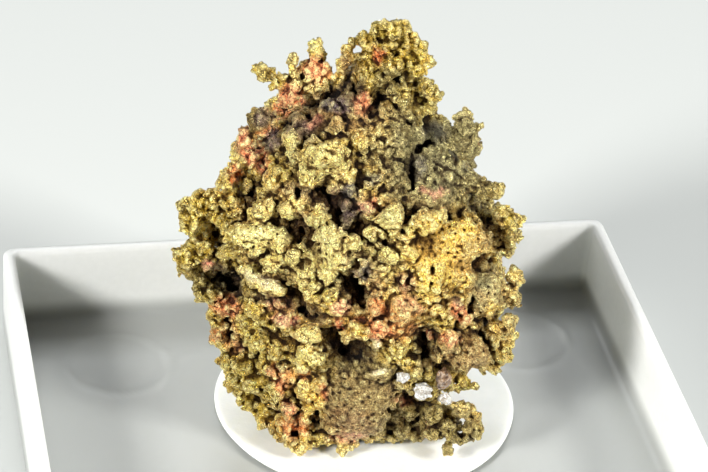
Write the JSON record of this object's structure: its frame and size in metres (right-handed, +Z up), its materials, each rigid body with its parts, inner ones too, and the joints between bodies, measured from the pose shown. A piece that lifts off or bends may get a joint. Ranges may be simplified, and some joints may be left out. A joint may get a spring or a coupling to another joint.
{
  "type": "native copper specimen",
  "caption": "Knobbly native copper mineral specimen standing on a round tack disc in a shallow square display tray.",
  "frame": {"origin": "middle of the tray's underside, the height of the surface it stands on", "axes": "+Z up; the tray's sides lie along X and Y; -Y is the open front of the tray, which the specimen's face looks across"},
  "size_m": [0.057, 0.057, 0.0418],
  "materials": {
    "tray_plastic": "smooth white moulded plastic",
    "mineral_tack": "warm white putty, hand pressed",
    "native_copper": "hackly tarnished metal, brassy olive with copper red patches",
    "quartz": "milky crystal",
    "brown_quartz": "smoky brown crystal"
  },
  "bodies": {
    "root": {"display_tray": "tray_plastic", "tack_disc": "mineral_tack", "native_copper": "native_copper", "quartz_grain_large": "quartz", "quartz_grain_small": "quartz", "quartz_grain_upper": "quartz", "quartz_prism_brown": "brown_quartz"}
  },
  "joints": []
}
